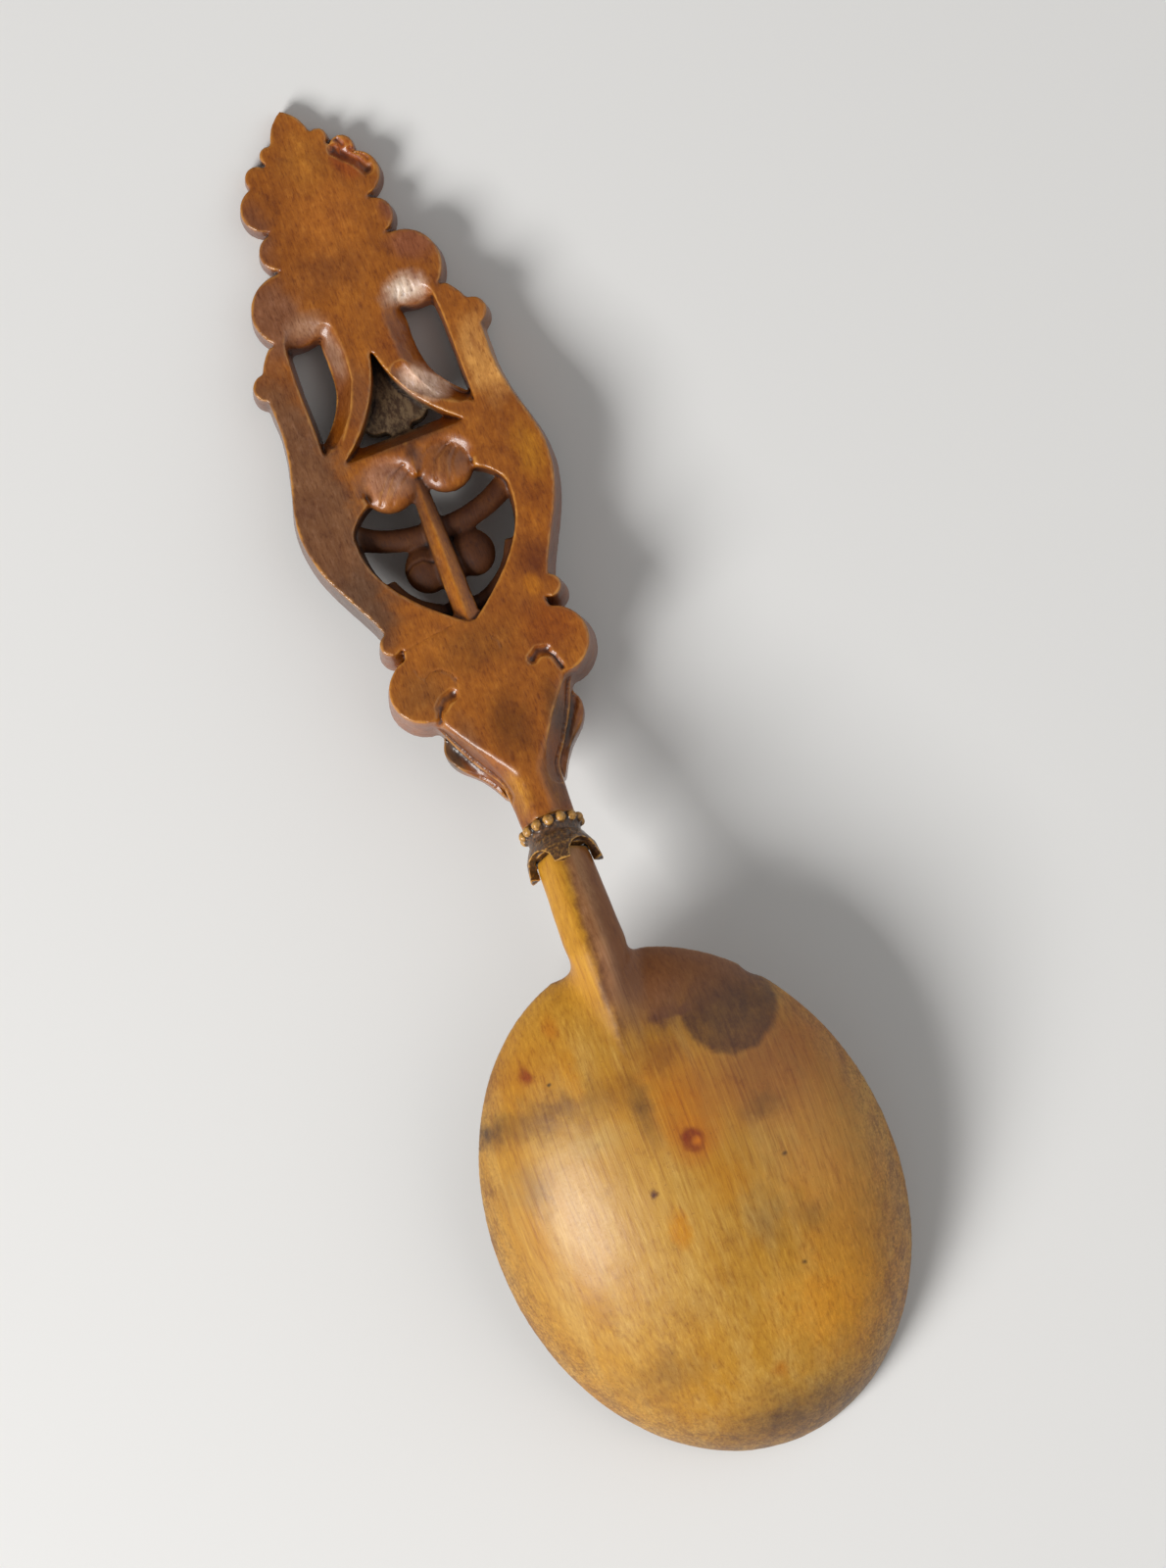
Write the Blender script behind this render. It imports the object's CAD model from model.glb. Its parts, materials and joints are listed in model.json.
# %% [markdown]
# # A carved wooden spoon with a pierced handle
# The spoon lies face down, so the back of its bowl and the flat back of its handle look up. It was cut
# from one billet, so every carved member flows into the next. The frame below holds the members as crisp
# solids. This lesson joins copies of them, wears the edges round as years of hands do, cuts the carver's
# small marks, and then parts the result into the same members again, without a visible joint.

# %% Load the frame
import json
import math

import bpy
import numpy as np
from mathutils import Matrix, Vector
from mathutils.bvhtree import BVHTree

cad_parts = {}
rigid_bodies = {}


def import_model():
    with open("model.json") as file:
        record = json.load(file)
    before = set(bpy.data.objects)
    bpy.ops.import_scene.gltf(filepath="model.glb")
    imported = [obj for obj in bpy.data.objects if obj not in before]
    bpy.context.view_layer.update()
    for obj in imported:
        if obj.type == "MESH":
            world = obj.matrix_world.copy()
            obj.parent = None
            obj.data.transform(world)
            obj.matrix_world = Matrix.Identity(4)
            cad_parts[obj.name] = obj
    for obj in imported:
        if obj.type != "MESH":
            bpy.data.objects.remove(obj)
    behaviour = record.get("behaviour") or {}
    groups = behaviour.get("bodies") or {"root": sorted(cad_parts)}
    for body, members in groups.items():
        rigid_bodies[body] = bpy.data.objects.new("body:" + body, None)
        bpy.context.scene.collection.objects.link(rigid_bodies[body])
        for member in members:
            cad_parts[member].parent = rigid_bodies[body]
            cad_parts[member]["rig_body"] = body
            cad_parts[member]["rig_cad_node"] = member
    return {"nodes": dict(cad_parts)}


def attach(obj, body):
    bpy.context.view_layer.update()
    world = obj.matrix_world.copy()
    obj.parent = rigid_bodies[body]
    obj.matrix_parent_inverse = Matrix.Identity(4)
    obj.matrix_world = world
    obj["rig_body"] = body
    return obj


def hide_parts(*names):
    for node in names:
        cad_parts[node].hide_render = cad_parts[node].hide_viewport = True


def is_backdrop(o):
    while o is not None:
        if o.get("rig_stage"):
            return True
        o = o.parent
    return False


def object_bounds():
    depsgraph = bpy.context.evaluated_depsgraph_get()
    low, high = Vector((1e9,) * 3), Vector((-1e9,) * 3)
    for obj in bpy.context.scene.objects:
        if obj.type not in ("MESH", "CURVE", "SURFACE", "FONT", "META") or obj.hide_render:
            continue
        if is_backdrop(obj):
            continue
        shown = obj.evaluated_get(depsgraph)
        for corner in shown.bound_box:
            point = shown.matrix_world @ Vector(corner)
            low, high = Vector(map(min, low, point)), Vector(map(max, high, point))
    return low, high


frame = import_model()
cad_low, cad_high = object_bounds()
MM = 0.001
print("members in the frame:", len(frame["nodes"]))

# %% [markdown]
# ## Small helpers
# Operators act on what is selected, so each step first selects one piece alone. A modifier is added, set
# and applied in one go, which is what a modeller does by hand in the modifier panel. Points and normals
# are read as tables of numbers, because a hundred thousand points are too many to visit one by one.

# %% Helpers for pieces


def alone(piece):
    """Leaves only this piece selected, and makes it the active one."""
    bpy.ops.object.select_all(action="DESELECT")
    piece.select_set(True)
    bpy.context.view_layer.objects.active = piece


def modify(piece, kind, **settings):
    """Adds a modifier to a piece, sets it and applies it."""
    alone(piece)
    modifier = piece.modifiers.new(kind.lower(), kind)
    for name, value in settings.items():
        setattr(modifier, name, value)
    bpy.ops.object.modifier_apply(modifier=modifier.name)


def points_of(piece):
    """The piece's points in millimetres, one row each."""
    flat = np.empty(len(piece.data.vertices) * 3, np.float32)
    piece.data.vertices.foreach_get("co", flat)
    return flat.reshape(-1, 3).astype(float) / MM


def normals_of(piece):
    flat = np.empty(len(piece.data.vertices) * 3, np.float32)
    piece.data.vertex_normals.foreach_get("vector", flat)
    return flat.reshape(-1, 3).astype(float)


def edges_of(piece):
    flat = np.empty(len(piece.data.edges) * 2, np.int32)
    piece.data.edges.foreach_get("vertices", flat)
    return flat.reshape(-1, 2)


WEIGHT_LEVELS = 80


def weight(piece, name, values):
    """A vertex group with a weight from 0 to 1 for every point."""
    group = piece.vertex_groups.new(name=name)
    levels = np.round(np.clip(values, 0, 1) * WEIGHT_LEVELS).astype(int)
    for level in range(1, WEIGHT_LEVELS + 1):
        chosen = np.flatnonzero(levels == level)
        if len(chosen):
            group.add(chosen.tolist(), level / WEIGHT_LEVELS, "REPLACE")
    return group.name


def smooth_step(values, low, high):
    share = np.clip((values - low) / (high - low), 0, 1)
    return share * share * (3 - 2 * share)


# %% [markdown]
# ## Three blanks
# A frame member is a set of loose triangles, so its copy is merged first. Each copy is swollen by a hair, so
# that members that only touch overlap. The copies are joined and remeshed with small cubes, which melts
# them into one skin, and the skin is drawn back by the same hair. The bowl and stem need cubes of about a
# third of a millimetre, the pierced handle a fifth, and the tiny collar a ninth.

# %% Join copies of the members into blanks
STEM_MEMBERS = ["bowl", "rat_tail", "shank"]
COLLAR_MEMBERS = ["collar_band", "collar_beads", "collar_calyx"]
HANDLE_MEMBERS = sorted(set(frame["nodes"]) - set(STEM_MEMBERS) - set(COLLAR_MEMBERS))
SWELL = 0.04
MERGE_DISTANCE = 0.001
STEM_VOXEL, HANDLE_VOXEL, COLLAR_VOXEL = 0.335, 0.2, 0.11


def swell(piece, height):
    modify(piece, "DISPLACE", direction="NORMAL", mid_level=0.0, strength=height * MM)


def merged_copy(member):
    copy = frame["nodes"][member].copy()
    copy.data = copy.data.copy()
    copy.parent = None
    del copy["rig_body"]
    del copy["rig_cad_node"]
    bpy.context.scene.collection.objects.link(copy)
    alone(copy)
    bpy.ops.object.mode_set(mode="EDIT")
    bpy.ops.mesh.select_all(action="SELECT")
    bpy.ops.mesh.remove_doubles(threshold=MERGE_DISTANCE * MM)
    bpy.ops.object.mode_set(mode="OBJECT")
    swell(copy, SWELL)
    return copy


def blank(name, members, voxel):
    copies = [merged_copy(member) for member in members]
    alone(copies[0])
    for copy in copies:
        copy.select_set(True)
    bpy.ops.object.join()
    piece = bpy.context.view_layer.objects.active
    piece.name = name
    piece.data.materials.clear()
    modify(piece, "REMESH", mode="VOXEL", voxel_size=voxel * MM, use_smooth_shade=True)
    swell(piece, -SWELL)
    print(name, "has", len(piece.data.polygons), "faces")
    return piece


stem = blank("stem_blank", STEM_MEMBERS, STEM_VOXEL)
handle = blank("handle_blank", HANDLE_MEMBERS, HANDLE_VOXEL)
collar = blank("collar_blank", COLLAR_MEMBERS, COLLAR_VOXEL)

# %% [markdown]
# ## Worn edges
# A little smoothing takes the sharpness off every edge. Some places were cut soft from the start: the stem,
# its run into the bowl, and the zones of the handle that are listed with their bounds below. Their points get
# a weight, and a longer smoothing works on them alone. How near a point is to a member comes from a search
# tree over that member's faces. Along the ridge of the stem the smoothing is weak, so the ridge stays crisp.

# %% Smooth the blanks
SMOOTH_FACTOR = 0.5
MIDLINE = -0.35
RIDGE_SLOPE, RIDGE_OFFSET = 0.07, 0.53
RIDGE_NEAR, RIDGE_FAR, RIDGE_SHARE = 0.3, 2.4, 0.06
JOIN_START, JOIN_END, JOIN_HALF_WIDTH = -45.0, -13.0, 14
STEM_INNER, STEM_OUTER = 0.2, 1.5
LEFT_REACH, RIGHT_LESS, SIDE_CHANGE, REACH_FADE = 3.6, 1.2, 1.5, 2.2
# Name, bounds and edge along the handle, bounds and edge across it, and rounds of smoothing.
SOFT_ZONES = [
    ("neck slopes", (-4.0, 10.0, 2.0), (0.0, 8.8, 1.2), 60),
    ("scoops", (60.4, 64.4, 1.2), (3.4, 8.8, 1.0), 50),
    ("straps", (47.5, 58.0, 1.0), (2.0, 8.4, 1.0), 8),
    ("spray", (24.5, 43.0, 1.5), (2.0, 8.2, 0.8), 14),
    ("lobe heads", (41.2, 44.0, 1.2), (0.6, 7.4, 0.8), 200),
]


def tree_of(members):
    """A search tree over the faces of some frame members, and the member that owns each face."""
    corners, faces, owners = [], [], []
    for number, member in enumerate(members):
        mesh = frame["nodes"][member].data
        start = len(corners)
        corners += [vertex.co.copy() for vertex in mesh.vertices]
        faces += [[start + index for index in polygon.vertices] for polygon in mesh.polygons]
        owners += [number] * len(mesh.polygons)
    return BVHTree.FromPolygons(corners, faces), np.array(owners)


def distance_to(piece, members, chosen):
    """The distance in millimetres from the chosen points of a piece to some frame members."""
    tree = tree_of(members)[0]
    mesh = piece.data
    return np.array([tree.find_nearest(mesh.vertices[index].co)[3] for index in chosen]) / MM


def soften(piece, name, weights, iterations):
    """Smooths the weighted points of a piece."""
    group = weight(piece, name, weights)
    modify(piece, "SMOOTH", factor=SMOOTH_FACTOR, iterations=iterations, vertex_group=group)
    print(name, "softens", int((weights > 0).sum()), "points")


for blank_piece, rounds in ((stem, 6), (handle, 4), (collar, 5)):
    modify(blank_piece, "SMOOTH", factor=SMOOTH_FACTOR, iterations=rounds)

place = points_of(stem)
near = np.flatnonzero((place[:, 1] > JOIN_START) & (np.abs(place[:, 0]) < JOIN_HALF_WIDTH))
stem_gap = distance_to(stem, ["rat_tail", "shank"], near)
round_stem = np.zeros(len(place))
round_stem[near] = 1 - smooth_step(stem_gap, STEM_INNER, STEM_OUTER)
soften(stem, "round stem", round_stem, 30)

near = near[place[near, 1] < JOIN_END]
gap = np.maximum(distance_to(stem, ["bowl"], near), distance_to(stem, ["rat_tail", "shank"], near))
side_reach = LEFT_REACH - RIGHT_LESS * smooth_step(place[near, 0], -SIDE_CHANGE, SIDE_CHANGE)
from_ridge = np.abs(place[near, 0] - RIDGE_SLOPE * place[near, 1] - RIDGE_OFFSET)
ridge_share = RIDGE_SHARE + (1 - RIDGE_SHARE) * smooth_step(from_ridge, RIDGE_NEAR, RIDGE_FAR)
join = np.zeros(len(place))
join[near] = smooth_step(side_reach - gap, 0.0, REACH_FADE) * ridge_share
soften(stem, "soft join", join, 220)

place = points_of(handle)
across, along = np.abs(place[:, 0] - MIDLINE), place[:, 1]


def zone(values, low, high, edge):
    """1 between two values, falling to 0 over the given edge outside them."""
    return smooth_step(values, low - edge, low) * (1 - smooth_step(values, high, high + edge))


for name, (low, high, edge), (inner, outer, side_edge), rounds in SOFT_ZONES:
    soften(handle, name, zone(along, low, high, edge) * zone(across, inner, outer, side_edge), rounds)

# %% [markdown]
# ## The carver's cuts
# Knife and gouge marks are strokes: a line across the wood with a width and a depth. Every point near a
# stroke gets a weight, and one Displace modifier pushes the weighted points into the wood along their
# normals. A V-shaped cut falls off straight from its middle, a gouge falls off round.

# %% Cut strokes into the handle
CUT_DEPTH = 0.8
FACING_LIMIT = 0.25
SPIRAL_POINTS = 40
SPIRAL_SHRINK = 0.8


def distance_to_line(spots, line):
    """The distance of flat points from a line of corner points."""
    nearest = np.full(len(spots), 1e9)
    for start, end in zip(np.array(line[:-1], float), np.array(line[1:], float)):
        run = end - start
        share = np.clip(((spots - start) @ run) / (run @ run), 0, 1)
        nearest = np.minimum(nearest, np.linalg.norm(spots - start - share[:, None] * run, axis=1))
    return nearest


def stroke_weights(piece, strokes, facing):
    """Weights for strokes given as line, half width, depth and round or not, on the back or the front."""
    place = points_of(piece)
    turned = normals_of(piece)[:, 2] * facing > FACING_LIMIT
    weights = np.zeros(len(place))
    for line, half_width, depth, is_round in strokes:
        low = np.min(line, axis=0) - half_width
        high = np.max(line, axis=0) + half_width
        chosen = np.flatnonzero(turned & np.all((place[:, :2] > low) & (place[:, :2] < high), axis=1))
        share = np.clip(1 - distance_to_line(place[chosen, :2], line) / half_width, 0, 1)
        if is_round:
            share = 1 - (1 - share) ** 2
        weights[chosen] = np.maximum(weights[chosen], share * depth / CUT_DEPTH)
    return weights


# Corner points of the line in millimetres, half width, depth, and whether the cut is round.
BACK_STROKES = [
    ([(-6.0, 13.2), (-7.0, 12.9), (-7.8, 12.2)], 0.85, 0.5, True),
    ([(-7.6, 12.4), (-8.2, 11.6), (-8.7, 10.4)], 0.5, 0.55, False),
    ([(-8.5, 16.2), (-7.6, 16.8), (-6.2, 16.6), (-5.2, 15.7), (-4.8, 14.6)], 0.22, 0.14, False),
    ([(-8.4, 16.2), (-9.0, 16.8), (-9.2, 17.8)], 0.2, 0.1, False),
    ([(5.0, 13.9), (5.9, 14.5), (6.9, 14.3)], 0.75, 0.5, True),
    ([(6.8, 14.4), (7.6, 13.3), (8.1, 11.6)], 0.4, 0.5, False),
    ([(1.2, 18.4), (1.9, 17.6), (1.9, 16.6)], 0.2, 0.1, False),
    ([(8.4, 8.8), (6.0, 5.8), (4.2, 2.8), (3.2, -0.4)], 1.5, 0.45, True),
    ([(-9.6, 8.6), (-7.0, 5.0), (-5.6, 2.0), (-4.6, -1.0)], 1.5, 0.45, True),
    ([(-10.0, 20.4), (-6.5, 20.9), (-2.6, 21.4)], 0.22, 0.1, False),
    ([(-6.4, 29.2), (-5.0, 30.3), (-3.4, 30.4), (-2.4, 29.6)], 0.25, 0.16, False),
    ([(-5.9, 38.6), (-3.6, 41.6), (-1.6, 42.4)], 0.3, 0.12, True),
    ([(-4.6, 38.2), (-2.6, 40.6), (-1.2, 41.4)], 0.3, 0.1, True),
    ([(1.6, 39.2), (2.6, 41.8), (4.6, 43.0)], 0.3, 0.12, True),
    ([(3.4, 38.4), (4.2, 40.8), (5.4, 42.2)], 0.3, 0.1, True),
    ([(-4.9, 61.5), (-4.6, 58.0), (-5.0, 55.0), (-6.4, 51.6), (-8.6, 48.4)], 1.2, 0.35, True),
    ([(2.4, 53.4), (3.6, 51.8), (5.6, 50.2), (8.4, 48.7)], 1.5, 0.6, True),
    ([(5.0, 62.2), (5.6, 63.6)], 0.35, 0.12, True),
    ([(6.0, 62.4), (6.4, 64.0)], 0.35, 0.12, True),
    ([(7.2, 62.6), (7.2, 64.0)], 0.35, 0.12, True),
    ([(4.4, 82.9), (5.6, 81.6), (6.6, 80.6), (7.4, 79.2)], 0.9, 0.5, True),
    ([(5.0, 84.0), (5.4, 83.0), (4.4, 82.4)], 0.5, 0.35, True),
    ([(6.2, 82.2), (7.4, 81.4), (7.8, 80.2)], 0.5, 0.35, True),
    ([(-3.0, 84.6), (-1.2, 83.6), (0.6, 83.9)], 0.2, 0.06, False),
    ([(-2.6, 80.2), (-1.4, 78.8), (0.2, 79.0)], 0.2, 0.06, False),
]


def spiral(centre, radius, turns, side):
    """Corner points of a spiral that winds inward on the left or the right half."""
    angles = np.linspace(0, turns * 2 * math.pi, SPIRAL_POINTS)
    radii = radius * (1 - SPIRAL_SHRINK * np.arange(SPIRAL_POINTS) / SPIRAL_POINTS)
    return [(side * (centre[0] + r * math.cos(a)), centre[1] + r * math.sin(a)) for r, a in zip(radii, angles)]


FRONT_STROKES = []
for side in (-1, 1):
    FRONT_STROKES += [
        (spiral((9.4, 14.0), 3.9, 1.7, side), 0.5, 0.55, False),
        ([(side * 4.6, 1.5), (side * 6.4, 4.2), (side * 8.0, 8.0)], 0.5, 0.35, True),
        ([(side * 15.4, 34.0), (side * 14.6, 44.0), (side * 12.2, 55.0)], 0.6, 0.3, True),
        ([(side * 9.6, 24.6), (side * 12.6, 28.6), (side * 15.4, 34.0)], 0.6, 0.3, True),
        ([(side * 5.6, 64.0), (side * 8.6, 66.2), (side * 11.0, 66.4)], 0.7, 0.4, True),
        ([(side * 5.4, 67.6), (side * 8.4, 69.0), (side * 10.2, 69.4)], 0.6, 0.35, True),
        ([(side * 4.2, 72.0), (side * 6.2, 73.2), (side * 8.0, 73.2)], 0.6, 0.35, True),
        ([(side * 4.0, 77.0), (side * 6.2, 78.8), (side * 8.4, 79.2)], 0.7, 0.4, True),
        ([(side * 1.2, 44.8), (side * 3.2, 46.8), (side * 4.4, 49.0)], 0.5, 0.35, True),
    ]
FRONT_STROKES += [
    ([(0, 62.0), (0, 70.0), (0, 79.0), (0, 87.0)], 0.6, 0.35, True),
    ([(0, 45.4), (0, 49.6), (0, 53.2)], 0.5, 0.35, True),
    (spiral((MIDLINE, 49.4), 1.7, 1.0, 1), 0.4, 0.35, False),
]


def cut(piece, name, weights):
    group = weight(piece, name, weights)
    modify(piece, "DISPLACE", direction="NORMAL", mid_level=0.0, strength=-CUT_DEPTH * MM, vertex_group=group)


cut(handle, "back cuts", stroke_weights(handle, BACK_STROKES, 1))
cut(handle, "front cuts", stroke_weights(handle, FRONT_STROKES, -1))
print("strokes on the back and the front:", len(BACK_STROKES), len(FRONT_STROKES))

# %% [markdown]
# ## Uneven hand work
# No hand-cut face is quite flat. A cloud texture moves each blank's points by less than a tenth of a
# millimetre, in waves of one to five millimetres, and a last smoothing pass softens the handle's cuts.

# %% Waver the surfaces


def waver(piece, size, height):
    clouds = bpy.data.textures.new(piece.name + " waver", "CLOUDS")
    clouds.noise_scale = size * MM
    modify(piece, "DISPLACE", texture=clouds, texture_coords="LOCAL", mid_level=0.5, strength=height * MM)


waver(stem, 5.0, 0.12)
waver(handle, 3.0, 0.16)
waver(collar, 0.9, 0.16)
modify(handle, "SMOOTH", factor=SMOOTH_FACTOR, iterations=1)


def keep_inside(piece):
    """Brings points that wavered out of the frame's box back onto it."""
    held = np.clip(points_of(piece) * MM, cad_low, cad_high)
    piece.data.vertices.foreach_set("co", held.astype(np.float32).ravel())
    piece.data.update()


for blank_piece in (stem, handle, collar):
    keep_inside(blank_piece)

# %% [markdown]
# ## Where wear and dirt sit
# Edges that stick out are rubbed pale and smooth, and creases gather dirt. A point's height over its own
# smoothed neighbourhood tells the two apart. The result is kept on the mesh as an attribute, so the finish
# can read it, and it stays continuous when the blank is parted into members.

# %% Measure wear
FINE_ROUNDS, BROAD_ROUNDS = 8, 60
SPREAD = 0.6


def measure_wear(piece, name, rounds, full_height):
    """Keeps on each point how far it stands out of its smoothed surroundings, from -1 to 1."""
    place = points_of(piece)
    edges = edges_of(piece)
    count = np.bincount(edges.ravel(), minlength=len(place)).astype(float)[:, None]
    soft = place.copy()
    for _ in range(rounds):
        total = np.zeros_like(soft)
        for axis in range(3):
            total[:, axis] = np.bincount(edges[:, 0], soft[edges[:, 1], axis], len(place))
            total[:, axis] += np.bincount(edges[:, 1], soft[edges[:, 0], axis], len(place))
        soft = (1 - SPREAD) * soft + SPREAD * total / count
    height = np.sum((place - soft) * normals_of(piece), axis=1) / full_height
    attribute = piece.data.attributes.new(name, "FLOAT", "POINT")
    attribute.data.foreach_set("value", np.clip(height, -1, 1).astype(np.float32))
    print(piece.name, name, "from %.2f to %.2f" % (height.min(), height.max()))


for blank_piece, fine_height, broad_height in ((stem, 0.12, 0.5), (handle, 0.1, 0.45), (collar, 0.08, 0.3)):
    measure_wear(blank_piece, "wear", FINE_ROUNDS, fine_height)
    measure_wear(blank_piece, "shelter", BROAD_ROUNDS, broad_height)

# %% [markdown]
# ## Part the blanks into members
# Each face of a blank goes to the frame member whose surface is nearest. The borders are evened by giving
# a face the label that most of its neighbours have, and specks go to what surrounds them. A stand-in
# material for each member then lets one Separate operator part the blank. The open rims are closed with
# fans of faces whose hubs sink into the wood, and the rims are marked sharp so that the shading runs on.

# %% Part a blank
SPECK_FACES = 100
CAP_DEPTH = 1.5
VOTE_ROUNDS, OWN_VOTES = 6, 1.5


def neighbour_pairs(mesh):
    """Pairs of faces that share an edge."""
    loop_edges = np.empty(len(mesh.loops), np.int32)
    mesh.loops.foreach_get("edge_index", loop_edges)
    totals = np.empty(len(mesh.polygons), np.int32)
    mesh.polygons.foreach_get("loop_total", totals)
    faces = np.repeat(np.arange(len(totals)), totals)
    order = np.argsort(loop_edges, kind="stable")
    first, second = order[:-1], order[1:]
    same = loop_edges[first] == loop_edges[second]
    return np.stack([faces[first[same]], faces[second[same]]], axis=1)


def vote(labels, pairs, count, keep):
    """For each face, the label that most of its neighbours have; its own counts for keep votes."""
    votes = np.zeros((len(labels), count), np.float32)
    votes[np.arange(len(labels)), labels] = keep
    np.add.at(votes, (pairs[:, 0], labels[pairs[:, 1]]), 1)
    np.add.at(votes, (pairs[:, 1], labels[pairs[:, 0]]), 1)
    return votes.argmax(axis=1)


def patches(labels, pairs):
    """A patch number for each face: faces of one label that hang together share it."""
    inside = pairs[labels[pairs[:, 0]] == labels[pairs[:, 1]]]
    patch = np.arange(len(labels))
    while True:
        lowest = patch.copy()
        np.minimum.at(lowest, inside[:, 0], patch[inside[:, 1]])
        np.minimum.at(lowest, inside[:, 1], patch[inside[:, 0]])
        lowest = lowest[lowest]
        lowest = lowest[lowest]
        if np.array_equal(lowest, patch):
            return patch
        patch = lowest


def fill(labels, pairs, specks):
    """Gives the faces of specks the label of a sound neighbour, ring by ring."""
    pairs = np.concatenate([pairs, pairs[:, ::-1]])
    while specks.any():
        ring = pairs[specks[pairs[:, 0]] & ~specks[pairs[:, 1]]]
        if not len(ring):
            break
        labels[ring[:, 0]] = labels[ring[:, 1]]
        specks[ring[:, 0]] = False


def part(piece, members):
    """Parts a blank into one piece for each member and returns them by the member's name."""
    mesh = piece.data
    tree, owners = tree_of(members)
    labels = owners[[tree.find_nearest(polygon.center)[2] for polygon in mesh.polygons]]
    pairs = neighbour_pairs(mesh)
    for _ in range(VOTE_ROUNDS):
        labels = vote(labels, pairs, len(members), OWN_VOTES)
    patch = patches(labels, pairs)
    fill(labels, pairs, np.bincount(patch, minlength=len(patch))[patch] < SPECK_FACES)
    for member in members:
        mesh.materials.append(bpy.data.materials.new("part " + member))
    mesh.polygons.foreach_set("material_index", labels.astype(np.int32))
    alone(piece)
    bpy.ops.mesh.separate(type="MATERIAL")
    parted = {}
    for made in list(bpy.context.selected_objects):
        member = made.data.materials[0].name.removeprefix("part ")
        made.name = "carved_" + member
        parted[member] = made
    for made in parted.values():
        made.data.materials.clear()
        close(made)
    return parted


def close(piece):
    """Caps the open rims of a parted piece with fans that sink into the wood, and marks the rims sharp."""
    outward = normals_of(piece)
    alone(piece)
    bpy.ops.object.mode_set(mode="EDIT")
    bpy.ops.mesh.select_mode(type="EDGE")
    bpy.ops.mesh.select_all(action="DESELECT")
    bpy.ops.mesh.select_non_manifold(extend=False, use_wire=False, use_multi_face=False, use_verts=False)
    bpy.ops.mesh.mark_sharp()
    bpy.ops.mesh.extrude_edges_move()
    bpy.ops.mesh.select_mode(type="VERT")
    bpy.ops.mesh.merge(type="COLLAPSE")
    bpy.ops.object.mode_set(mode="OBJECT")
    hubs = np.zeros(len(piece.data.vertices), bool)
    piece.data.vertices.foreach_get("select", hubs)
    place, edges = points_of(piece), edges_of(piece)
    for hub in np.flatnonzero(hubs):
        spokes = edges[np.any(edges == hub, axis=1)]
        rim = spokes[spokes != hub]
        place[hub] -= CAP_DEPTH * outward[rim].mean(axis=0)
    piece.data.vertices.foreach_set("co", (place * MM).astype(np.float32).ravel())
    piece.data.update()


members = {}
for blank_piece, names in ((stem, STEM_MEMBERS), (handle, HANDLE_MEMBERS), (collar, COLLAR_MEMBERS)):
    members.update(part(blank_piece, names))
print("carved members:", len(members), "of", len(frame["nodes"]))
print("members without a piece:", sorted(set(frame["nodes"]) - set(members)))

# %% [markdown]
# ## Writing finishes as sums
# A finish is a web of small nodes. One class wraps a socket, so that sums, differences and products of
# values add the Math nodes by themselves. Every other node comes from one method, which takes its type, its
# settings and its inputs.

# %% A class for values and one for finishes


class Value:
    """A number that changes over a surface."""

    def __init__(self, finish, socket):
        self.finish = finish
        self.socket = socket

    def math(self, operation, first, second):
        return self.finish.node("Math", {"operation": operation}, {0: first, 1: second})

    def __add__(self, other):
        return self.math("ADD", self, other)

    def __radd__(self, other):
        return self.math("ADD", other, self)

    def __sub__(self, other):
        return self.math("SUBTRACT", self, other)

    def __rsub__(self, other):
        return self.math("SUBTRACT", other, self)

    def __mul__(self, other):
        return self.math("MULTIPLY", self, other)

    def __rmul__(self, other):
        return self.math("MULTIPLY", other, self)

    def ramp(self, low, high):
        """0 below the low value, 1 over the high one, and a soft rise between them."""
        limits = {"Value": self, "From Min": low, "From Max": high}
        return self.finish.node("MapRange", {"interpolation_type": "SMOOTHSTEP"}, limits)


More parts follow.
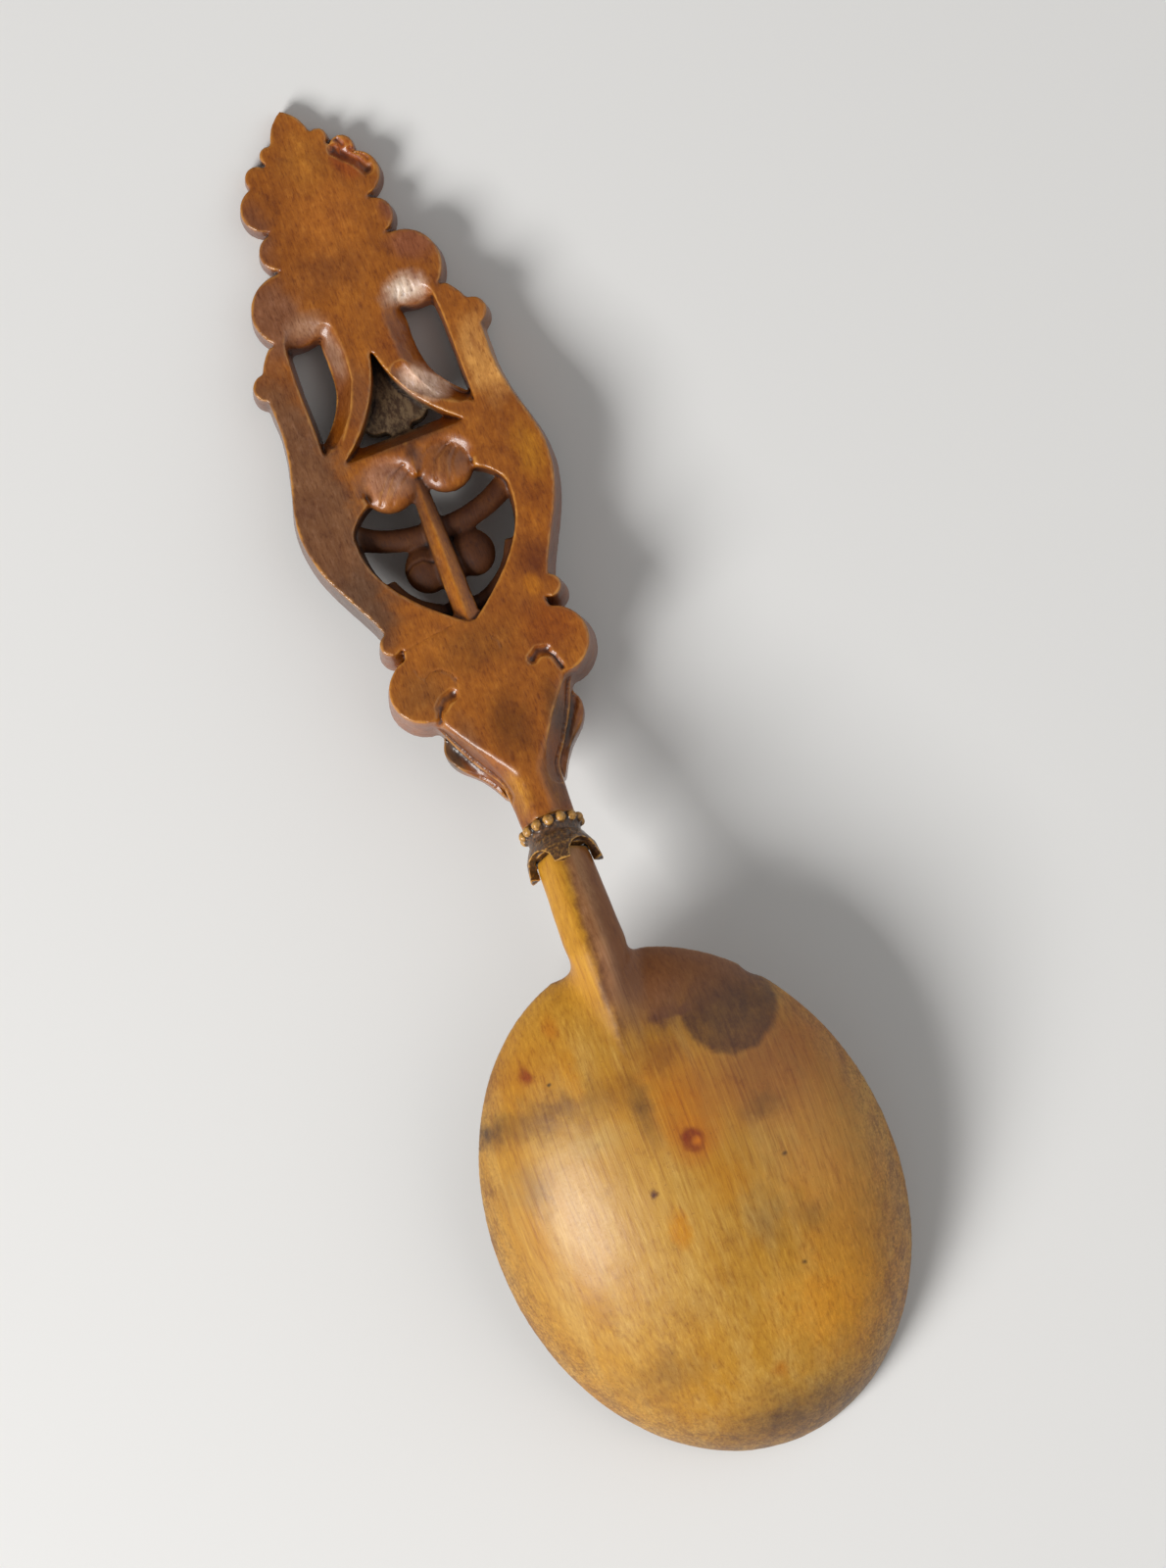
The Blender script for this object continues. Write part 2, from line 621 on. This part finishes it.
class Finish:
    """A material that is written in steps."""

    def __init__(self, name):
        self.material = bpy.data.materials.new(name)
        self.material.use_nodes = True
        self.tree = self.material.node_tree
        self.shader = self.tree.nodes["Principled BSDF"]
        place = self.node("TexCoord", {}, {}, "Object")
        self.place = self.node("VectorMath", {"operation": "SCALE"}, {0: place, "Scale": 1 / MM})
        waves = {"Vector": self.stretched((0.4, 0.4, 0.4)), "Scale": 1.0, "Detail": 5.0, "Roughness": 0.6}
        self.ragged = self.node("TexNoise", {}, waves, "Color")

    def link(self, value, socket):
        if isinstance(value, Value):
            self.tree.links.new(value.socket, socket)
        else:
            socket.default_value = value

    def node(self, kind, settings, inputs, output=0):
        made = self.tree.nodes.new("ShaderNode" + kind)
        for name, value in settings.items():
            setattr(made, name, value)
        for name, value in inputs.items():
            self.link(value, made.inputs[name])
        return Value(self, made.outputs[output])

    def stretched(self, scale, turn=0.0):
        """The place in millimetres, scaled along each axis, and turned about the vertical first."""
        settings = {"vector_type": "POINT"}
        inputs = {"Vector": self.place, "Rotation": (0, 0, math.radians(turn)), "Scale": scale}
        return self.node("Mapping", settings, inputs)

    def noise(self, scale, detail=2.0, turn=0.0, offset=0.0, roughness=0.5):
        """Noise from 0 to 1, with so many waves per millimetre along each axis."""
        place = self.stretched(scale, turn)
        inputs = {"Vector": place, "W": offset, "Scale": 1.0, "Detail": detail, "Roughness": roughness}
        return self.node("TexNoise", {"noise_dimensions": "4D"}, inputs)

    def spot(self, centre, size, edge=0.5, warp=0.0):
        """1 inside an upright oval column round a spot on the plan, falling to 0 at its size. The place may
        be warped by noise first, in millimetres, so that the outline turns ragged."""
        place = self.place
        if warp:
            pushed = {0: self.ragged, 1: (0.5, 0.5, 0.5)}
            shift = self.node("VectorMath", {"operation": "SUBTRACT"}, pushed)
            shift = self.node("VectorMath", {"operation": "SCALE"}, {0: shift, "Scale": 2 * warp})
            place = self.node("VectorMath", {"operation": "ADD"}, {0: place, 1: shift})
        moved = self.node("VectorMath", {"operation": "SUBTRACT"}, {0: place, 1: (*centre, 0)})
        shares = {0: moved, 1: (1 / size[0], 1 / size[1], 0)}
        scaled = self.node("VectorMath", {"operation": "MULTIPLY"}, shares)
        far = self.node("VectorMath", {"operation": "LENGTH"}, {0: scaled}, "Value")
        return 1 - far.ramp(edge, 1.0)

    def mix(self, share, first, second):
        """A colour part of the way from the first to the second."""
        inputs = {0: share, 6: first, 7: second}
        return self.node("Mix", {"data_type": "RGBA", "clamp_factor": True}, inputs, 2)

    def multiply(self, share, first, second):
        inputs = {0: share, 6: first, 7: second}
        return self.node("Mix", {"data_type": "RGBA", "blend_type": "MULTIPLY"}, inputs, 2)

    def attribute(self, name):
        return self.node("Attribute", {"attribute_name": name}, {}, "Fac")

    def axis(self, name):
        return self.node("SeparateXYZ", {}, {0: self.place}, name)

    def bump(self, height, strength, distance):
        inputs = {"Height": height, "Strength": strength, "Distance": distance * MM}
        self.link(self.node("Bump", {}, inputs), self.shader.inputs["Normal"])

    def set(self, **inputs):
        for name, value in inputs.items():
            self.link(value, self.shader.inputs[name.replace("_", " ")])


def rgb(red, green, blue):
    return (red, green, blue, 1.0)


# %% [markdown]
# ## The handle's finish
# The handle is a dense, fine-grained wood that has turned a warm orange brown. Broad clouds, blotches of a few
# millimetres, golden flecks and dark pores lie over each other. One side has greyed to a mauve tone and the
# other stayed golden. Rubbed edges are lighter and shine more, but only here and there, and sheltered
# creases are dark. What lies below the flat back is darker: the side walls a little, and the leaves and the
# rosette inside the openings a lot, where they are also dull. The height below the back is worked out from
# its slope.

# %% Handle wood
# Centre and size on the plan in millimetres, edge, warp, colour and strength.
TINTS = [
    ((-14.3, 40.0), (7.0, 24.0), 0.55, 2.5, rgb(0.17, 0.07, 0.028), 0.9),
    ((-12.5, 27.0), (5.5, 8.0), 0.3, 2.0, rgb(0.115, 0.05, 0.022), 0.8),
    ((-11.0, 65.5), (6.0, 7.5), 0.4, 2.0, rgb(0.215, 0.08, 0.034), 0.85),
    ((-8.8, 76.5), (3.4, 6.5), 0.3, 1.5, rgb(0.18, 0.06, 0.024), 0.75),
    ((-4.5, 53.0), (4.0, 6.0), 0.3, 1.5, rgb(0.2, 0.066, 0.02), 0.6),
    ((9.0, 73.3), (2.8, 3.2), 0.3, 1.2, rgb(0.2, 0.06, 0.03), 0.8),
    ((9.6, 68.4), (4.4, 3.6), 0.3, 1.5, rgb(0.245, 0.072, 0.03), 0.8),
    ((13.4, 32.0), (5.4, 13.0), 0.4, 2.0, rgb(0.3, 0.08, 0.003), 0.85),
    ((9.5, 25.5), (3.6, 4.5), 0.2, 1.5, rgb(0.15, 0.03, 0.002), 0.75),
    ((13.8, 38.5), (3.0, 6.0), 0.1, 2.0, rgb(0.46, 0.17, 0.006), 0.75),
    ((12.9, 51.5), (3.8, 7.5), 0.4, 2.0, rgb(0.6, 0.26, 0.055), 0.95),
    ((8.3, 22.6), (1.5, 1.7), 0.5, 0.6, rgb(0.4, 0.12, 0.003), 0.8),
    ((8.5, 17.0), (6.0, 5.0), 0.2, 2.0, rgb(0.24, 0.05, 0.001), 0.8),
    ((-9.8, 14.5), (5.0, 5.0), 0.2, 2.0, rgb(0.21, 0.072, 0.012), 0.6),
    ((-0.5, 7.0), (4.2, 7.0), 0.1, 1.5, rgb(0.15, 0.04, 0.001), 0.8),
    ((5.6, 5.5), (2.4, 7.0), 0.2, 1.0, rgb(0.1, 0.036, 0.008), 0.8),
    ((-6.2, 6.4), (2.4, 6.0), 0.2, 1.0, rgb(0.22, 0.078, 0.022), 0.75),
    ((-9.2, 6.2), (2.2, 4.4), 0.4, 0.8, rgb(0.12, 0.072, 0.036), 0.85),
    ((0.5, 45.0), (6.5, 1.3), 0.2, 0.7, rgb(0.13, 0.038, 0.01), 0.8),
    ((0.0, 43.4), (1.5, 2.0), 0.1, 0.6, rgb(0.08, 0.024, 0.008), 0.9),
    ((0.5, 75.0), (7.5, 8.0), 0.1, 2.5, rgb(0.47, 0.145, 0.014), 0.75),
    ((-1.0, 18.0), (8.5, 4.5), 0.1, 2.0, rgb(0.22, 0.066, 0.005), 0.7),
    ((6.3, 63.0), (3.8, 2.8), 0.0, 1.4, rgb(0.86, 0.68, 0.52), 1.0),
    ((-6.8, 62.8), (3.8, 2.6), 0.1, 1.0, rgb(0.36, 0.18, 0.095), 0.85),
    ((-4.8, 58.5), (1.6, 4.6), 0.2, 0.5, rgb(0.38, 0.21, 0.125), 0.85),
    ((3.6, 52.0), (3.0, 2.6), 0.2, 0.9, rgb(0.84, 0.55, 0.38), 1.0),
    ((6.2, 50.4), (3.8, 2.4), 0.2, 0.9, rgb(0.88, 0.62, 0.45), 1.0),
    ((-3.0, -1.5), (2.6, 4.5), 0.3, 1.0, rgb(0.47, 0.185, 0.012), 0.9),
    ((2.4, -2.0), (2.0, 4.0), 0.3, 0.8, rgb(0.24, 0.078, 0.006), 0.8),
    ((-2.5, 68.5), (7.0, 4.5), 0.1, 2.5, rgb(0.235, 0.066, 0.008), 0.75),
    ((2.5, 58.0), (3.0, 5.0), 0.2, 1.5, rgb(0.25, 0.058, 0.003), 0.7),
    ((0.0, 82.5), (4.4, 5.0), 0.1, 2.0, rgb(0.4, 0.135, 0.012), 0.7),
    ((5.6, 81.4), (2.8, 3.6), 0.5, 0.8, rgb(0.33, 0.06, 0.003), 0.75),
    ((-4.2, 41.2), (3.6, 3.4), 0.4, 0.8, rgb(0.4, 0.18, 0.095), 0.85),
    ((3.6, 41.2), (3.6, 3.4), 0.4, 0.8, rgb(0.22, 0.075, 0.022), 0.75),
    ((-1.0, 30.0), (2.0, 10.0), 0.5, 0.5, rgb(0.42, 0.13, 0.004), 0.85),
]
BACK_HEIGHT = 15.43
BACK_SLOPE = 8.5
BACK_FALL = math.tan(math.radians(BACK_SLOPE))


def handle_wood(name):
    finish = Finish(name)
    wear = finish.attribute("wear")
    shelter = finish.attribute("shelter")
    clouds = finish.noise((0.07, 0.05, 0.07), 4.0).ramp(0.36, 0.64)
    blotches = finish.noise((0.42, 0.3, 0.42), 5.0, 20.0, 1.0, 0.6)
    mottle = finish.noise((1.3, 0.75, 1.3), 4.0, 30.0, 2.0, 0.7)
    pores = finish.noise((3.6, 0.9, 3.6), 2.0, 18.0, 3.0)
    lines = finish.noise((4.5, 0.14, 3.0), 4.0, 4.0, 5.0, 0.65)
    breaks = finish.noise((0.35, 0.35, 0.35), 3.0, 0.0, 8.0).ramp(0.4, 0.62)
    below_back = BACK_HEIGHT - BACK_FALL * finish.axis("Y") - finish.axis("Z")
    colour = finish.mix(clouds, rgb(0.29, 0.08, 0.005), rgb(0.37, 0.11, 0.008))
    for centre, size, edge, warp, tint, strength in TINTS:
        colour = finish.mix(finish.spot(centre, size, edge, warp) * strength, colour, tint)
    colour = finish.multiply(blotches.ramp(0.5, 0.28) * 0.7, colour, rgb(0.58, 0.45, 0.48))
    colour = finish.multiply(blotches.ramp(0.5, 0.72) * 0.6, colour, rgb(1.45, 1.6, 1.8))
    colour = finish.multiply(mottle.ramp(0.5, 0.3) * 0.5, colour, rgb(0.6, 0.48, 0.45))
    colour = finish.multiply(mottle.ramp(0.5, 0.7) * 0.5, colour, rgb(1.4, 1.65, 2.2))
    colour = finish.multiply(pores.ramp(0.54, 0.7) * 0.6, colour, rgb(0.55, 0.42, 0.34))
    colour = finish.multiply(lines.ramp(0.5, 0.68) * 0.6, colour, rgb(0.68, 0.58, 0.5))
    colour = finish.multiply(lines.ramp(0.5, 0.32) * 0.5, colour, rgb(1.25, 1.35, 1.6))
    spray = finish.spot((MIDLINE, 32.5), (11.5, 13.0), 0.8) * below_back.ramp(0.7, 1.9)
    colour = finish.multiply(spray * 0.95, colour, rgb(0.17, 0.14, 0.16))
    screen = finish.spot((MIDLINE, 51.0), (7.0, 7.0), 0.8) * below_back.ramp(1.8, 3.0)
    fibres = finish.mix(mottle.ramp(0.42, 0.6), rgb(0.03, 0.021, 0.012), rgb(0.15, 0.108, 0.058))
    colour = finish.mix(screen * 0.9, colour, fibres)
    recess = (spray + screen).ramp(0.0, 1.0)
    flank = below_back.ramp(0.5, 2.2) * (1 - recess)
    colour = finish.multiply(flank * 0.8, colour, rgb(0.62, 0.5, 0.4))
    worn = wear.ramp(0.15, 0.75) * (0.3 + 0.7 * breaks) * (1 - 0.8 * recess)
    colour = finish.mix(worn * 0.7, colour, rgb(0.62, 0.27, 0.05))
    colour = finish.multiply((0 - wear).ramp(0.2, 0.9) * 0.85, colour, rgb(0.22, 0.15, 0.12))
    colour = finish.multiply((0 - shelter).ramp(0.15, 1.0) * 0.8, colour, rgb(0.28, 0.2, 0.16))
    rough = 0.26 + 0.26 * mottle - 0.08 * wear.ramp(0.1, 0.8) + 0.3 * recess
    finish.shader.inputs["Specular IOR Level"].default_value = 0.35
    finish.set(Base_Color=colour, Roughness=rough, Coat_Weight=0.42 * (1 - recess))
    finish.shader.inputs["Coat Roughness"].default_value = 0.16
    finish.bump(blotches * 1.4 + mottle * 0.5 - pores * 0.4 - lines * 0.6, 0.6, 0.1)
    return finish.material


handle_material = handle_wood("handle_wood")
print("handle finish:", len(handle_material.node_tree.nodes), "nodes")

# %% [markdown]
# ## The bowl's finish
# Hands and washing have kept the bowl a lighter honey colour, with fine lines along its length. Old stains
# sit where the spoon was held and laid down: a dark round patch by the stem, a sooty band at one side,
# reddish knots and a few flecks. Each is an oval spot on the plan whose outline is warped by noise.

# %% Bowl wood
# Centre and size on the plan in millimetres, edge, warp, colour and strength.
STAINS = [
    ((8.0, -27.0), (18.0, 13.0), 0.2, 3.0, rgb(0.17, 0.05, 0.002), 0.95),
    ((17.0, -44.0), (13.0, 14.0), 0.1, 4.0, rgb(0.45, 0.14, 0.012), 0.9),
    ((18.0, -60.0), (11.0, 20.0), 0.0, 4.0, rgb(0.72, 0.29, 0.03), 0.8),
    ((13.0, -74.0), (13.0, 11.0), 0.0, 4.0, rgb(0.78, 0.31, 0.016), 0.8),
    ((-15.0, -33.0), (11.0, 9.0), 0.0, 3.0, rgb(0.45, 0.165, 0.004), 0.85),
    ((-21.0, -30.0), (8.0, 7.0), 0.0, 2.0, rgb(0.24, 0.085, 0.006), 0.8),
    ((-3.0, -39.5), (6.0, 4.0), 0.0, 2.0, rgb(0.4, 0.155, 0.006), 0.75),
    ((3.0, -44.0), (9.0, 11.0), 0.0, 3.0, rgb(0.47, 0.15, 0.002), 0.95),
    ((2.2, -37.6), (4.6, 3.6), 0.0, 2.0, rgb(0.26, 0.082, 0.004), 0.85),
    ((11.0, -44.0), (10.0, 8.0), 0.0, 3.0, rgb(0.34, 0.11, 0.006), 0.75),
    ((12.5, -35.4), (6.6, 6.0), 0.82, 1.0, rgb(0.07, 0.015, 0.001), 0.85),
    ((4.8, -30.0), (3.6, 5.0), 0.2, 1.8, rgb(0.12, 0.045, 0.02), 0.8),
    ((4.6, -33.2), (2.8, 1.7), 0.3, 1.4, rgb(0.08, 0.018, 0.01), 0.85),
    ((7.0, -33.6), (1.5, 1.1), 0.3, 1.0, rgb(0.09, 0.02, 0.01), 0.7),
    ((-22.0, -39.2), (6.0, 2.8), 0.0, 2.0, rgb(0.06, 0.024, 0.002), 0.9),
    ((-13.0, -40.0), (14.0, 3.8), 0.0, 3.0, rgb(0.19, 0.07, 0.004), 0.85),
    ((-2.2, -43.0), (2.2, 7.5), 0.0, 1.8, rgb(0.17, 0.068, 0.008), 0.85),
    ((-9.0, -45.0), (6.0, 3.0), 0.0, 1.6, rgb(0.56, 0.35, 0.09), 0.55),
    ((-18.5, -48.0), (4.6, 5.0), 0.0, 2.6, rgb(0.3, 0.155, 0.035), 0.7),
    ((2.5, -49.0), (4.2, 4.6), 0.0, 1.2, rgb(0.46, 0.13, 0.001), 0.9),
    ((2.4, -48.9), (1.8, 2.1), 0.4, 0.8, rgb(0.2, 0.022, 0.0), 1.0),
    ((2.8, -49.3), (0.9, 1.0), 0.1, 0.6, rgb(0.6, 0.17, 0.004), 0.9),
    ((-9.3, -29.6), (1.6, 2.6), 0.2, 0.7, rgb(0.42, 0.075, 0.0), 0.95),
    ((-9.0, -35.5), (1.8, 6.5), 0.0, 1.4, rgb(0.52, 0.2, 0.002), 0.75),
    ((-14.3, -34.4), (1.2, 1.8), 0.2, 0.6, rgb(0.24, 0.035, 0.0), 1.0),
    ((-11.9, -36.4), (0.4, 0.35), 0.2, 0.3, rgb(0.05, 0.03, 0.01), 0.85),
    ((-4.5, -53.5), (0.7, 0.9), 0.2, 1.0, rgb(0.09, 0.018, 0.004), 0.95),
    ((-3.0, -58.8), (1.8, 3.3), 0.3, 1.2, rgb(0.52, 0.2, 0.0), 1.0),
    ((4.6, -55.0), (5.0, 5.5), 0.0, 2.6, rgb(0.5, 0.2, 0.004), 0.8),
    ((8.0, -61.0), (5.0, 5.0), 0.0, 3.0, rgb(0.34, 0.19, 0.05), 0.6),
    ((13.0, -63.0), (3.0, 3.0), 0.0, 2.0, rgb(0.28, 0.14, 0.03), 0.5),
    ((12.0, -48.0), (4.2, 2.8), 0.0, 2.4, rgb(0.2, 0.075, 0.008), 0.75),
    ((-11.0, -75.5), (8.0, 4.5), 0.0, 3.0, rgb(0.26, 0.115, 0.016), 0.7),
    ((2.0, -86.5), (18.0, 5.5), 0.0, 2.0, rgb(0.13, 0.052, 0.006), 0.85),
    ((2.4, -80.0), (1.5, 1.9), 0.0, 1.0, rgb(0.46, 0.15, 0.0), 0.8),
    ((10.0, -68.2), (0.5, 0.45), 0.1, 0.6, rgb(0.08, 0.035, 0.01), 0.9),
    ((12.4, -54.6), (0.5, 0.4), 0.1, 0.5, rgb(0.1, 0.045, 0.01), 0.85),
]


def bowl_wood(name):
    finish = Finish(name)
    wear = finish.attribute("wear")
    shelter = finish.attribute("shelter")
    across, along = finish.axis("X"), finish.axis("Y")
    clouds = finish.noise((0.07, 0.04, 0.07), 4.0, 0.0, 1.0).ramp(0.34, 0.66)
    streaks = finish.noise((2.6, 0.07, 1.4), 5.0, -7.0, 2.0, 0.65)
    bands = finish.noise((0.45, 0.022, 0.3), 3.0, -7.0, 5.0)
    grime = finish.noise((0.5, 0.4, 0.5), 6.0, 0.0, 6.0, 0.7)
    smudges = finish.noise((0.13, 0.1, 0.13), 5.0, 0.0, 9.0, 0.65)
    specks = finish.noise((2.6, 2.6, 2.6), 3.0, 0.0, 4.0, 0.6)
    colour = finish.mix(clouds, rgb(0.47, 0.205, 0.008), rgb(0.52, 0.265, 0.034))
    colour = finish.mix(bands.ramp(0.42, 0.66) * 0.5, colour, rgb(0.56, 0.32, 0.07))
    colour = finish.multiply(smudges.ramp(0.5, 0.68) * 0.5, colour, rgb(0.68, 0.6, 0.55))
    dusty = 0.75 + 1.2 * (grime - 0.35)
    for centre, size, edge, warp, stain, strength in STAINS:
        colour = finish.mix(finish.spot(centre, size, edge, warp) * dusty * strength, colour, stain)
    from_ridge = across - RIDGE_SLOPE * along - RIDGE_OFFSET + 2.4 * (smudges - 0.5) + 0.8 * (grime - 0.5)
    on_stem = along.ramp(-36.0, -26.0)
    colour = finish.mix((1 - from_ridge.ramp(-0.8, 0.4)) * on_stem * 0.9, colour, rgb(0.58, 0.26, 0.014))
    colour = finish.mix(from_ridge.ramp(-0.5, 0.7) * on_stem * 0.85, colour, rgb(0.38, 0.165, 0.066))
    colour = finish.mix(from_ridge.ramp(1.6, 3.0) * on_stem * 0.85, colour, rgb(0.22, 0.06, 0.002))
    dirt = from_ridge.ramp(-1.2, 0.3) * (1 - from_ridge.ramp(0.3, 1.8)) * grime.ramp(0.3, 0.66)
    colour = finish.multiply(dirt * along.ramp(-38.5, -34.0) * 0.75, colour, rgb(0.4, 0.3, 0.26))
    colour = finish.multiply(streaks.ramp(0.5, 0.66) * 0.7, colour, rgb(0.7, 0.57, 0.42))
    colour = finish.multiply(streaks.ramp(0.5, 0.32) * 0.7, colour, rgb(1.25, 1.38, 1.8))
    colour = finish.multiply(grime.ramp(0.54, 0.74) * 0.6, colour, rgb(0.6, 0.5, 0.42))
    colour = finish.multiply(specks.ramp(0.6, 0.76) * 0.6, colour, rgb(0.5, 0.4, 0.32))
    rim = 1 - finish.spot((MIDLINE, -54.0), (26.5, 36.5), 0.78, 2.0)
    dust = rim * along.ramp(-24.0, -32.0) * (grime + specks).ramp(0.85, 1.15)
    colour = finish.multiply(dust * 0.85, colour, rgb(0.42, 0.33, 0.27))
    colour = finish.mix(wear.ramp(0.3, 1.0) * 0.4, colour, rgb(0.62, 0.36, 0.08))
    colour = finish.multiply((0 - wear).ramp(0.25, 0.9) * 0.6, colour, rgb(0.35, 0.26, 0.2))
    colour = finish.multiply((0 - shelter).ramp(0.3, 1.0) * 0.35, colour, rgb(0.4, 0.3, 0.24))
    rough = 0.36 + 0.2 * specks
    finish.shader.inputs["Specular IOR Level"].default_value = 0.5
    finish.set(Base_Color=colour, Roughness=rough, Coat_Weight=0.15)
    finish.shader.inputs["Coat Roughness"].default_value = 0.3
    finish.bump(streaks * 0.6 + grime * 0.8 + specks * 0.2, 0.5, 0.1)
    return finish.material


bowl_material = bowl_wood("bowl_wood")
print("bowl finish:", len(bowl_material.node_tree.nodes), "nodes")

# %% [markdown]
# ## The collar's finish
# Dirt has settled between the beads and points of the collar, and only their tops are rubbed bright.

# %% Collar wood


def collar_wood(name):
    finish = Finish(name)
    wear = finish.attribute("wear")
    shelter = finish.attribute("shelter")
    specks = finish.noise((3.0, 3.0, 3.0), 3.0)
    colour = finish.mix(specks.ramp(0.35, 0.65), rgb(0.05, 0.025, 0.012), rgb(0.15, 0.062, 0.02))
    colour = finish.mix(wear.ramp(0.0, 0.4) * 0.95, colour, rgb(0.6, 0.3, 0.06))
    colour = finish.multiply((0 - wear).ramp(0.1, 0.7) * 0.9, colour, rgb(0.25, 0.2, 0.18))
    colour = finish.multiply((0 - shelter).ramp(0.05, 0.6) * 0.9, colour, rgb(0.2, 0.16, 0.14))
    rough = 0.3 + 0.2 * specks
    finish.set(Base_Color=colour, Roughness=rough, Coat_Weight=0.3)
    finish.bump(specks, 0.2, 0.1)
    return finish.material


collar_material = collar_wood("collar_wood")
print("collar finish:", len(collar_material.node_tree.nodes), "nodes")

# %% [markdown]
# ## Each member in its place
# Every carved member gets its finish, rides on the spoon's one body and stands for the frame member that it
# was parted from, which is then hidden.

# %% Give each member its finish and its place in the frame
for member, piece in sorted(members.items()):
    if member in STEM_MEMBERS:
        finish, slot = bowl_material, "bowl_wood"
    elif member in COLLAR_MEMBERS:
        finish, slot = collar_material, "collar_wood"
    else:
        finish, slot = handle_material, "handle_wood"
    piece.data.materials.append(finish)
    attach(piece, "root")
    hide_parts(member)
print("triangles:", sum(len(p.vertices) - 2 for piece in members.values() for p in piece.data.polygons))

# %% [markdown]
# ## The floor
# The spoon lies on a plain pale floor, which looks pale to the camera but throws little light back up, so
# that the undercut members stay dark. A Light Path node tells the two kinds of rays apart.

# %% Floor
FLOOR_SIZE = 4.0
FLOOR_DROP = 0.05
bpy.ops.mesh.primitive_plane_add(size=FLOOR_SIZE, location=(0, 0, -FLOOR_DROP * MM))
floor = bpy.context.view_layer.objects.active
floor.name = "floor"
paper = Finish("pale_floor")
seen = paper.node("LightPath", {}, {}, "Is Camera Ray")
mirrored = paper.node("LightPath", {}, {}, "Is Glossy Ray")
through = paper.node("LightPath", {}, {}, "Is Transmission Ray")
floor_colour = paper.mix(seen + mirrored + through, rgb(0.2, 0.2, 0.2), rgb(0.8, 0.79, 0.77))
paper.set(Base_Color=floor_colour, Roughness=0.9)
floor.data.materials.append(paper.material)
floor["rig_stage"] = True

# %% [markdown]
# ## The light
# A soft lamp stands at the left, as the shine on the left faces shows. A broad weaker one fills the right,
# and the sky is a dim even white.

# %% Lamps
TARGET = Vector((0.0, -0.01, 0.0))


def lamp(name, place, size, power):
    """A square soft lamp that looks at the spoon."""
    bpy.ops.object.light_add(type="AREA", location=place)
    made = bpy.context.view_layer.objects.active
    made.name = name
    made.data.shape = "SQUARE"
    made.data.size = size
    made.data.energy = power
    made.rotation_mode = "QUATERNION"
    made.rotation_quaternion = (TARGET - Vector(place)).to_track_quat("-Z", "Y")


lamp("key", (-0.85, -0.34, 0.68), 0.5, 14.0)
lamp("fill", (1.3, 0.2, 1.1), 2.4, 11.0)
SKY_STRENGTH = 0.18
world = bpy.data.worlds.new("plain_sky")
bpy.context.scene.world = world
world.use_nodes = True
sky = world.node_tree.nodes["Background"]
sky.inputs["Color"].default_value = rgb(1, 1, 1)
sky.inputs["Strength"].default_value = SKY_STRENGTH

# %% [markdown]
# ## The camera
# The camera looks straight down through a long lens, turned so that the tip leans to the left. The lens
# follows from the height of the camera and the stretch of floor that the picture takes in.

# %% Camera
PICTURE = (1190, 1600)
PIXELS_PER_MM = 8.1
CAMERA_HEIGHT = 1.2
VIEW_CENTRE = (5.3 * MM, -3.0 * MM)
TURN = -20.8
SENSOR = 36.0
SCALE_HEIGHT = 0.002
CLIP_START = 0.01
picture_height = PICTURE[1] / PIXELS_PER_MM * MM
bpy.ops.object.camera_add(location=(*VIEW_CENTRE, CAMERA_HEIGHT), rotation=(0, 0, math.radians(TURN)))
camera = bpy.context.view_layer.objects.active
camera.data.sensor_width = SENSOR
camera.data.lens = SENSOR * (CAMERA_HEIGHT - SCALE_HEIGHT) / picture_height
camera.data.clip_start = CLIP_START
bpy.context.scene.camera = camera
bpy.context.scene.view_settings.view_transform = "Standard"
print("lens %.0f mm" % camera.data.lens)

# %% Write both boxes
low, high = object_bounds()
print("grown by, in mm:", [round((a - b) / MM, 2) for a, b in zip(high, cad_high)])
